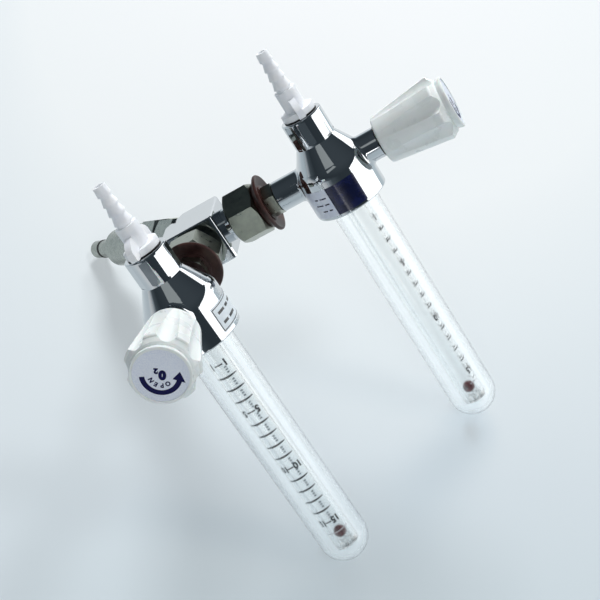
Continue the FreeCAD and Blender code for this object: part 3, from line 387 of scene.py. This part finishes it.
def turned(name, outline, place, steps=480):
    """Spins a closed outline of (radius, height) points in mm about the frame's +Z."""
    points, faces, rings = [], [], []
    for radius, height in outline:
        count = steps if radius > on_axis else 1
        rings.append([len(points) + i for i in range(count)])
        for i in range(count):
            turn = 2 * math.pi * i / steps
            points.append(place @ Vector((radius * math.cos(turn) * MM,
                                          radius * math.sin(turn) * MM, height * MM)))
    for near, far in zip(rings, rings[1:] + rings[:1]):
        for i in range(steps):
            j = (i + 1) % steps
            if len(near) > 1 and len(far) > 1:
                faces.append((near[i], near[j], far[j], far[i]))
            elif len(near) > 1:
                faces.append((near[i], near[j], far[0]))
            elif len(far) > 1:
                faces.append((near[0], far[j], far[i]))
    piece = shape(name, points, faces)
    soften(piece)
    return piece


def soften(piece):
    """Turns a mesh's faces outwards and shades it smooth, with its real edges kept sharp."""
    mesh = bmesh.new()
    mesh.from_mesh(piece.data)
    bmesh.ops.recalc_face_normals(mesh, faces=mesh.faces)
    mesh.to_mesh(piece.data)
    mesh.free()
    piece.data.shade_smooth()
    piece.data.set_sharp_from_angle(angle=math.radians(sharp_edge))


def dome(radius, middle, steps):
    """Points of a dome's outline, from its rim to its tip, below the height of its middle."""
    turns = [math.pi / 2 * i / steps for i in range(steps + 1)]
    return [(radius * math.cos(t), middle - radius * math.sin(t)) for t in turns]


def clear_plastic(name, tint, ior, low, high):
    """A clear plastic, hazy in patches. Shadow rays pass it with only a thin veil."""
    finish, tree, shader, spot = new_finish(name, Base_Color=srgb(tint), IOR=ior,
                                            Transmission_Weight=1.0)
    rub = add(tree, "ShaderNodeTexNoise", {"Vector": spot, "Scale": 1 / (12.0 * MM), "Detail": 2.0})
    haze = add(tree, "ShaderNodeMapRange",
               {"Value": rub.outputs["Fac"], "To Min": low, "To Max": high})
    tree.links.new(haze.outputs["Result"], shader.inputs["Roughness"])
    rays = add(tree, "ShaderNodeLightPath")
    veil = add(tree, "ShaderNodeBsdfTransparent", {"Color": srgb("#F3F6F8")})
    both = add(tree, "ShaderNodeMixShader",
               {0: rays.outputs["Is Shadow Ray"], 1: shader.outputs["BSDF"],
                2: veil.outputs["BSDF"]})
    tree.links.new(both.outputs["Shader"], tree.nodes["Material Output"].inputs["Surface"])
    return finish


tube_radius, tube_wall, dome_middle, dome_steps = 14.0, 2.5, -161.7, 28
flange_radius, flange_top, flange_under = 17.2, -9.2, -12.2
polycarbonate = clear_plastic("moulded_polycarbonate", "#FEFFFF", 1.53, 0.13, 0.17)
shroud_outline = (
    [(flange_radius, flange_top), (flange_radius, flange_under), (tube_radius, flange_under)]
    + dome(tube_radius, dome_middle, dome_steps)
    + dome(tube_radius - tube_wall, dome_middle, dome_steps)[::-1]
    + [(tube_radius - tube_wall, flange_top)]
)
for side, place in seats.items():
    shroud = turned(side + "_clear_shroud", shroud_outline, place)
    shroud.data.materials.append(polycarbonate)
    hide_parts(side + "_outer_tube")
    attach(shroud, "manifold")

# Inside it stands the metering tube, drawn from clear styrene with a bore that widens towards
# its far end, so that the ball climbs further as more gas passes.
metering_radius, foot_bore, seat_bore, end_bore = 7.0, 2.0, 3.8, 4.5
metering_top, foot_bore_end, ball_seat, metering_end = -4.6, -9.2, -13.0, -164.6
broken_edge = 0.2
styrene = clear_plastic("drawn_clear_styrene", "#FDFEFE", 1.46, 0.08, 0.12)
metering_outline = [
    (foot_bore, metering_top), (metering_radius - broken_edge, metering_top),
    (metering_radius, metering_top - broken_edge), (metering_radius, metering_end + broken_edge),
    (metering_radius - broken_edge, metering_end), (end_bore + broken_edge, metering_end),
    (end_bore, metering_end + broken_edge), (seat_bore, ball_seat), (foot_bore, foot_bore_end),
]
for side, place in seats.items():
    inner = turned(side + "_scale_tube", metering_outline, place)
    inner.data.materials.append(styrene)
    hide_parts(side + "_metering_tube")
    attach(inner, "manifold")


# The scale is screen printed on the metering tube in near-black ink, fifteen marks a litre
# apart, numbered at 1, 5, 10 and 15, with a line of thin grey dashes beside them. The film
# stands two hundredths of a millimetre proud.
def letters(text, height, weight, narrow=1.0):
    """Draws plain figures or capitals as a flat mesh, in mm about its middle."""
    curve = bpy.data.curves.new("letters", "FONT")
    curve.body = text
    curve.offset = weight
    curve.resolution_u = 6
    holder = bpy.data.objects.new("letters", curve)
    bpy.context.scene.collection.objects.link(holder)
    mesh = bmesh.new()
    mesh.from_mesh(bpy.data.meshes.new_from_object(holder))
    bpy.data.objects.remove(holder)
    xs = [v.co.x for v in mesh.verts]
    ys = [v.co.y for v in mesh.verts]
    scale = height / (max(ys) - min(ys))
    middle = Vector(((max(xs) + min(xs)) / 2, (max(ys) + min(ys)) / 2, 0))
    for vertex in mesh.verts:
        vertex.co = (vertex.co - middle) * scale
        vertex.co.x *= narrow
    return mesh


def bar(width, height, steps=24, ends=1.0):
    """A plain printed bar as flat faces, in mm about its middle, thinned towards its ends."""
    mesh = bmesh.new()
    rows = []
    for i in range(steps + 1):
        x = width * (i / steps - 0.5)
        half = height / 2 * (1 - (1 - ends) * (2 * i / steps - 1) ** 2)
        rows.append((mesh.verts.new((x, -half, 0)), mesh.verts.new((x, half, 0))))
    for (a, b), (c, d) in zip(rows, rows[1:]):
        mesh.faces.new((a, c, d, b))
    return mesh


def wrapped(name, marks, radius, place):
    """Wraps flat marks round a cylinder; each mark is a mesh, an azimuth from +Y and a height."""
    points, faces = [], []
    cut_pitch, cuts_each_way = 0.5, 40
    for mesh, azimuth, height in marks:
        for i in range(-cuts_each_way, cuts_each_way + 1):
            bmesh.ops.bisect_plane(mesh, geom=mesh.verts[:] + mesh.edges[:] + mesh.faces[:],
                                   plane_co=(i * cut_pitch, 0, 0), plane_no=(1, 0, 0))
        mesh.verts.index_update()
        first = len(points)
        for vertex in mesh.verts:
            turn = math.radians(azimuth) + vertex.co.x / radius
            points.append(place @ Vector((radius * math.sin(turn) * MM,
                                          radius * math.cos(turn) * MM,
                                          (height - vertex.co.y) * MM)))
        faces += [[first + v.index for v in face.verts] for face in mesh.faces]
        mesh.free()
    piece = shape(name, points, faces)
    piece.data.shade_smooth()
    return piece


first_mark, last_mark, mark_count = -35.5, -146.0, 15
mark_pitch = (last_mark - first_mark) / (mark_count - 1)
mark_length, mark_width, mark_ends = 12.4, 1.15, 0.35
numbered = {1: ("1", 4.6), 5: ("5", 4.6), 10: ("10", 3.4), 15: ("15", 3.4)}
numbered_width, figure_turn = 0.80, 32.0
figure_height, figure_weight, figure_narrow = 4.2, 0.05, 0.9
dash_length, dash_width, dash_turn = 1.3, 0.8, -21.0
print_radius = metering_radius + 0.02
ink, tree, shader, spot = new_finish("screen_ink", Roughness=0.5)
film = add(tree, "ShaderNodeTexNoise", {"Vector": spot, "Scale": 1 / (0.4 * MM), "Detail": 4.0})
ramp = add(tree, "ShaderNodeValToRGB", {"Fac": film.outputs["Fac"]})
tree.links.new(colours(ramp, (0.35, "#020E16"), (0.75, "#071C28")), shader.inputs["Base Color"])
thin_ink, tree, shader, spot = new_finish("thin_grey_ink", Roughness=0.5)
film = add(tree, "ShaderNodeTexNoise", {"Vector": spot, "Scale": 1 / (0.9 * MM), "Detail": 4.0})
ramp = add(tree, "ShaderNodeValToRGB", {"Fac": film.outputs["Fac"]})
tree.links.new(colours(ramp, (0.35, "#5F6F78"), (0.70, "#93A2AB")), shader.inputs["Base Color"])
for side, place in seats.items():
    marks = []
    for number in range(1, mark_count + 1):
        height = first_mark + (number - 1) * mark_pitch
        if number in numbered:
            figure, length = numbered[number]
            marks.append((bar(length, numbered_width), 0.0, height))
            for azimuth in (-figure_turn, figure_turn):
                drawn = letters(figure, figure_height, figure_weight, figure_narrow)
                marks.append((drawn, azimuth, height))
        else:
            marks.append((bar(mark_length, mark_width, ends=mark_ends), 0.0, height))
    scale_print = wrapped(side + "_scale_print", marks, print_radius, place)
    scale_print.data.materials.append(ink)
    dashes = []
    for number in range(1, mark_count):
        for share in (0.30, 0.50, 0.70):
            height = first_mark + (number - 1 + share) * mark_pitch
            dashes.append((bar(dash_length, dash_width, 4), dash_turn, height))
    fine_line = wrapped(side + "_fine_line", dashes, print_radius, place)
    fine_line.data.materials.append(thin_ink)
    for piece in (scale_print, fine_line):
        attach(piece, "manifold")

# A plug of frosted plastic closes the far end of each metering tube; four small holes let the
# gas out and keep the ball in. A fine pale line, a painted highlight, crosses the tube's printed side by the ball.
frosted = clear_plastic("frosted_plug_plastic", "#FDFEFE", 1.46, 0.10, 0.14)
# This pale line's colour is a painted highlight across the tube by the ball.
streak_paint, tree, shader, spot = new_finish("painted_highlight_streak", Roughness=0.4)
fine_texture = add(tree, "ShaderNodeTexNoise", {"Vector": spot, "Scale": 1 / (0.8 * MM), "Detail": 2.0})
ramp = add(tree, "ShaderNodeValToRGB", {"Fac": fine_texture.outputs["Fac"]})
tree.links.new(colours(ramp, (0.3, "#C9C2C8"), (0.7, "#E2DEE3")), shader.inputs["Base Color"])
streak_radius, streak_heights, streak_turns = 7.03, (-153.35, -153.95), range(-68, 69, 4)
for side, place in seats.items():
    dress(side + "_float_stop", frosted)
    points = []
    for turn in streak_turns:
        x = streak_radius * math.sin(math.radians(turn))
        y = streak_radius * math.cos(math.radians(turn))
        points += [place @ (Vector((x, y, z)) * MM) for z in streak_heights]
    pale_streak = shape(side + "_painted_highlight_line", points,
                 [(i, i + 1, i + 3, i + 2) for i in range(0, len(points) - 2, 2)])
    pale_streak.data.materials.append(streak_paint)
    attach(pale_streak, "manifold")

# The float is a dark red ball, ground round and polished. Upside down, as the part lies here,
# it rests on the plug at the far end of the scale.
ball_radius, ball_rest, rise_steps = 3.5, -157.2, 40
ruby, tree, shader, spot = new_finish("polished_red_ball", Roughness=0.16, Specular_IOR_Level=0.25)
depth = add(tree, "ShaderNodeTexNoise", {"Vector": spot, "Scale": 1 / (1.6 * MM), "Detail": 3.0})
ramp = add(tree, "ShaderNodeValToRGB", {"Fac": depth.outputs["Fac"]})
tree.links.new(colours(ramp, (0.3, "#4A0710"), (0.7, "#6E101B")), shader.inputs["Base Color"])
for side, place in seats.items():
    rise = [math.pi * i / rise_steps - math.pi / 2 for i in range(rise_steps + 1)]
    outline = [(max(0.0, ball_radius * math.cos(t)), ball_rest + ball_radius * math.sin(t))
               for t in rise]
    ball = turned(side + "_float", outline, place, steps=72)
    ball.data.materials.append(ruby)
    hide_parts(side + "_ball_float")
    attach(ball, side + "_float")


# Two printed plastic labels are glued round each skirt: a white one with a thin black frame
# and a navy one that turns pale. Their wording is left off; only plain rules stand on them.
def patch(name, start, end, top, bottom, radius, place):
    """A thin skin on a cylinder, from one azimuth from +Y to another and between two heights."""
    points, faces = [], []
    steps = 48
    for i in range(steps + 1):
        turn = math.radians(start + (end - start) * i / steps)
        for height in (top, bottom):
            flat = Vector((radius * math.sin(turn), radius * math.cos(turn), height))
            points.append(place @ (flat * MM))
    for i in range(steps):
        faces.append((2 * i, 2 * i + 1, 2 * i + 3, 2 * i + 2))
    piece = shape(name, points, faces)
    piece.data.shade_smooth()
    return piece


skirt_radius = 21.4
film_radius, ink_radius = skirt_radius + 0.10, skirt_radius + 0.14
white_top, white_bottom, white_start, white_end = -4.6, -18.9, -48.5, -132.0
navy_top, navy_bottom, navy_start, navy_end, pale_end = -2.6, -19.5, 58.0, 107.0, 176.0
frame_inset, frame_line, frame_width, frame_height = 1.0, 0.45, 30.6, 12.7
frame_turn, frame_start, frame_end = -90.0, -49.6, -130.9
white_rows = ((-9.0, (5.6, 3.4, 6.4)), (-14.6, (4.2, 6.8)))
pale_rows = ((-7.6, (4.4, 2.6)), (-11.4, (3.0, 5.2)), (-15.2, (2.2, 3.4)))


def bars_in_rows(rows, start, gap, width, steps):
    """Plain bars in rows round the skirt, in place of words; a gap below 0 runs the other way."""
    bars = []
    for height, lengths in rows:
        reach = start
        for length in lengths:
            turn = math.copysign(math.degrees(length / skirt_radius), gap)
            bars.append((bar(length, width, steps), reach + turn / 2, height))
            reach += turn + gap
    return bars


def label_film(name, dark, light, roughness):
    """A gloss label: ink on a plastic film, a little uneven where the glue pulls it."""
    finish, tree, shader, spot = new_finish(name, Roughness=roughness, Coat_Weight=0.4,
                                            Coat_Roughness=0.12)
    cast = add(tree, "ShaderNodeTexNoise", {"Vector": spot, "Scale": 1 / (6.0 * MM), "Detail": 3.0})
    ramp = add(tree, "ShaderNodeValToRGB", {"Fac": cast.outputs["Fac"]})
    tree.links.new(colours(ramp, (0.3, dark), (0.7, light)), shader.inputs["Base Color"])
    glue = add(tree, "ShaderNodeBump",
               {"Height": cast.outputs["Fac"], "Strength": 0.2, "Distance": 0.15 * MM})
    tree.links.new(glue.outputs["Normal"], shader.inputs["Normal"])
    return finish


white_film = label_film("white_label_film", "#D5E0E8", "#E6EEF3", 0.35)
navy_film = label_film("navy_label_film", "#050A2A", "#101A4A", 0.22)
pale_film = label_film("pale_label_film", "#D0D8EA", "#E6EBF5", 0.30)
black_ink = label_film("black_label_ink", "#0C0F12", "#1A1E22", 0.40)
for side, place in seats.items():
    white = patch(side + "_white_label", white_start, white_end,
                  white_top, white_bottom, film_radius, place)
    white.data.materials.append(white_film)
    navy = patch(side + "_navy_label", navy_start, navy_end,
                 navy_top, navy_bottom, film_radius, place)
    navy.data.materials.append(navy_film)
    pale_part = patch(side + "_pale_label", navy_end, pale_end,
                      navy_top, navy_bottom, film_radius, place)
    pale_part.data.materials.append(pale_film)
    rules = [
        (bar(frame_width, frame_line, 48), frame_turn, white_top - frame_inset),
        (bar(frame_width, frame_line, 48), frame_turn, white_bottom + frame_inset),
        (bar(frame_line, frame_height, 2), frame_start, (white_top + white_bottom) / 2),
        (bar(frame_line, frame_height, 2), frame_end, (white_top + white_bottom) / 2),
    ]
    rules += bars_in_rows(white_rows, start=-56.0, gap=-4.5, width=1.5, steps=12)
    border = wrapped(side + "_label_frame", rules, ink_radius, place)
    border.data.materials.append(black_ink)
    strokes = bars_in_rows(pale_rows, start=112.0, gap=3.6, width=0.8, steps=10)
    blue_rules = wrapped(side + "_label_rules", strokes, ink_radius, place)
    blue_rules.data.materials.append(navy_film)
    for piece in (white, navy, pale_part, border, blue_rules):
        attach(piece, "manifold")

# The hose tail is moulded in white nylon, with four barbs for the hose and two wings for the
# fingers. Nylon is a little waxy: light sinks in and softens its edges.
nylon, tree, shader, spot = new_finish("moulded_white_nylon", Subsurface_Weight=0.25,
                                       Subsurface_Scale=0.002,
                                       Subsurface_Radius=(1.0, 0.95, 0.9))
flow = add(tree, "ShaderNodeTexNoise", {"Vector": spot, "Scale": 1 / (7.0 * MM), "Detail": 3.0})
ramp = add(tree, "ShaderNodeValToRGB", {"Fac": flow.outputs["Fac"]})
tree.links.new(colours(ramp, (0.3, "#ECEFF5"), (0.7, "#F8FAFD")), shader.inputs["Base Color"])
sheen = add(tree, "ShaderNodeMapRange",
            {"Value": flow.outputs["Fac"], "To Min": 0.28, "To Max": 0.42})
tree.links.new(sheen.outputs["Result"], shader.inputs["Roughness"])
skin = add(tree, "ShaderNodeTexNoise", {"Vector": spot, "Scale": 1 / (0.8 * MM), "Detail": 2.0})
peel = add(tree, "ShaderNodeBump",
           {"Height": skin.outputs["Fac"], "Strength": 0.12, "Distance": 0.04 * MM})
tree.links.new(peel.outputs["Normal"], shader.inputs["Normal"])
for side in seats:
    dress(side + "_hose_tail", nylon)

# The needle and the screw that holds the knob are turned stainless steel, seen only in the
# gap behind the knob. Fine rings from the lathe run round them.
for side, place in seats.items():
    steel = satin_nickel(side + "_turned_stainless", tuple(place.to_3x3().col[1]),
                         ("#A8A8A6", "#C4C4C2"), 0.22, 0.34)
    for node in ("_valve_spindle", "_knob_screw"):
        dress(side + node, steel)

# The knob is moulded in gloss white ABS with seven finger flutes. Its surface has a faint
# orange peel from the mould, and it shows soft highlights.
white_abs, tree, shader, spot = new_finish("moulded_white_abs", Subsurface_Weight=0.08,
                                           Subsurface_Scale=0.0015,
                                           Coat_Weight=0.25, Coat_Roughness=0.08)
mould = add(tree, "ShaderNodeTexNoise", {"Vector": spot, "Scale": 1 / (11.0 * MM), "Detail": 3.0})
ramp = add(tree, "ShaderNodeValToRGB", {"Fac": mould.outputs["Fac"]})
tree.links.new(colours(ramp, (0.3, "#E4EAE9"), (0.7, "#EDF2F1")), shader.inputs["Base Color"])
gloss = add(tree, "ShaderNodeMapRange",
            {"Value": mould.outputs["Fac"], "To Min": 0.22, "To Max": 0.34})
tree.links.new(gloss.outputs["Result"], shader.inputs["Roughness"])
skin = add(tree, "ShaderNodeTexNoise", {"Vector": spot, "Scale": 1 / (0.9 * MM), "Detail": 2.0})
peel = add(tree, "ShaderNodeBump",
           {"Height": skin.outputs["Fac"], "Strength": 0.10, "Distance": 0.04 * MM})
tree.links.new(peel.outputs["Normal"], shader.inputs["Normal"])
for side in seats:
    dress(side + "_knob", white_abs)

# A thin disc closes the knob's face: pale blue-grey plastic with a fine fleck, printed in
# navy with the way to open the valve and the sign of the gas.
flecked, tree, shader, spot = new_finish("flecked_cap_plastic", Roughness=0.38)
fleck = add(tree, "ShaderNodeTexNoise", {"Vector": spot, "Scale": 1 / (0.35 * MM), "Detail": 2.0})
ramp = add(tree, "ShaderNodeValToRGB", {"Fac": fleck.outputs["Fac"]})
tree.links.new(colours(ramp, (0.36, "#D2DAEB"), (0.62, "#EAEFF6")), shader.inputs["Base Color"])
navy_ink, tree, shader, spot = new_finish("navy_screen_ink", Roughness=0.5, Specular_IOR_Level=0.2)
film = add(tree, "ShaderNodeTexNoise", {"Vector": spot, "Scale": 1 / (0.8 * MM), "Detail": 3.0})
ramp = add(tree, "ShaderNodeValToRGB", {"Fac": film.outputs["Fac"]})
tree.links.new(colours(ramp, (0.35, "#03043A"), (0.75, "#070A52")), shader.inputs["Base Color"])

cap_face, ink_lift, open_radius = 74.05, 0.04, 5.2
ink_face = Vector((0, cap_face + ink_lift, 0))
print_right = Vector((0.83, 0.0, 0.557)).normalized()
print_up = Vector((0.557, 0.0, -0.83)).normalized()


def set_flat(meshes):
    """Lays flat marks on the cap's face; each is a mesh with its turn and its middle in mm."""
    points, faces = [], []
    for mesh, turn, middle in meshes:
        mesh.verts.index_update()
        first = len(points)
        for vertex in mesh.verts:
            flat = Matrix.Rotation(math.radians(turn), 2) @ vertex.co.xy + Vector(middle)
            points.append(print_right * flat.x + print_up * flat.y + ink_face)
        faces += [[first + v.index for v in face.verts] for face in mesh.faces]
        mesh.free()
    return points, faces


def arrow(radius, width, start, end, tip, head_in, head_out, tip_out):
    """A curved arrow as flat faces: a band of an arc with a pointed head, in mm and degrees."""
    mesh = bmesh.new()
    steps = 48

    def at(r, degrees):
        return mesh.verts.new((r * math.cos(math.radians(degrees)),
                               r * math.sin(math.radians(degrees)), 0))

    rows = []
    for i in range(steps + 1):
        turn = start + (end - start) * i / steps
        rows.append((at(radius - width / 2, turn), at(radius + width / 2, turn)))
    for (a, b), (c, d) in zip(rows, rows[1:]):
        mesh.faces.new((a, b, d, c))
    mesh.faces.new((at(head_in, end), at(head_out, end), at(radius + tip_out, tip)))
    return mesh


for side, place in seats.items():
    dress(side + "_knob_cap", flecked)
    marks = [
        (arrow(radius=8.85, width=2.5, start=8.0, end=166.0, tip=197.0,
               head_in=5.6, head_out=11.9, tip_out=0.4), 0.0, (0.0, 0.0)),
        (letters("0", 5.3, 0.09), 0.0, (-0.75, -0.25)),
        (letters("2", 3.1, 0.08), 0.0, (2.3, -2.2)),
    ]
    for letter, turn in zip("OPEN", (130.0, 97.0, 64.0, 31.0)):
        middle = (open_radius * math.cos(math.radians(turn)),
                  open_radius * math.sin(math.radians(turn)))
        marks.append((letters(letter, 2.4, 0.05), turn - 90.0, middle))
    points, faces = set_flat(marks)
    cap_print = shape(side + "_cap_print", [place @ (point * MM) for point in points], faces)
    cap_print.data.materials.append(navy_ink)
    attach(cap_print, side + "_knob")
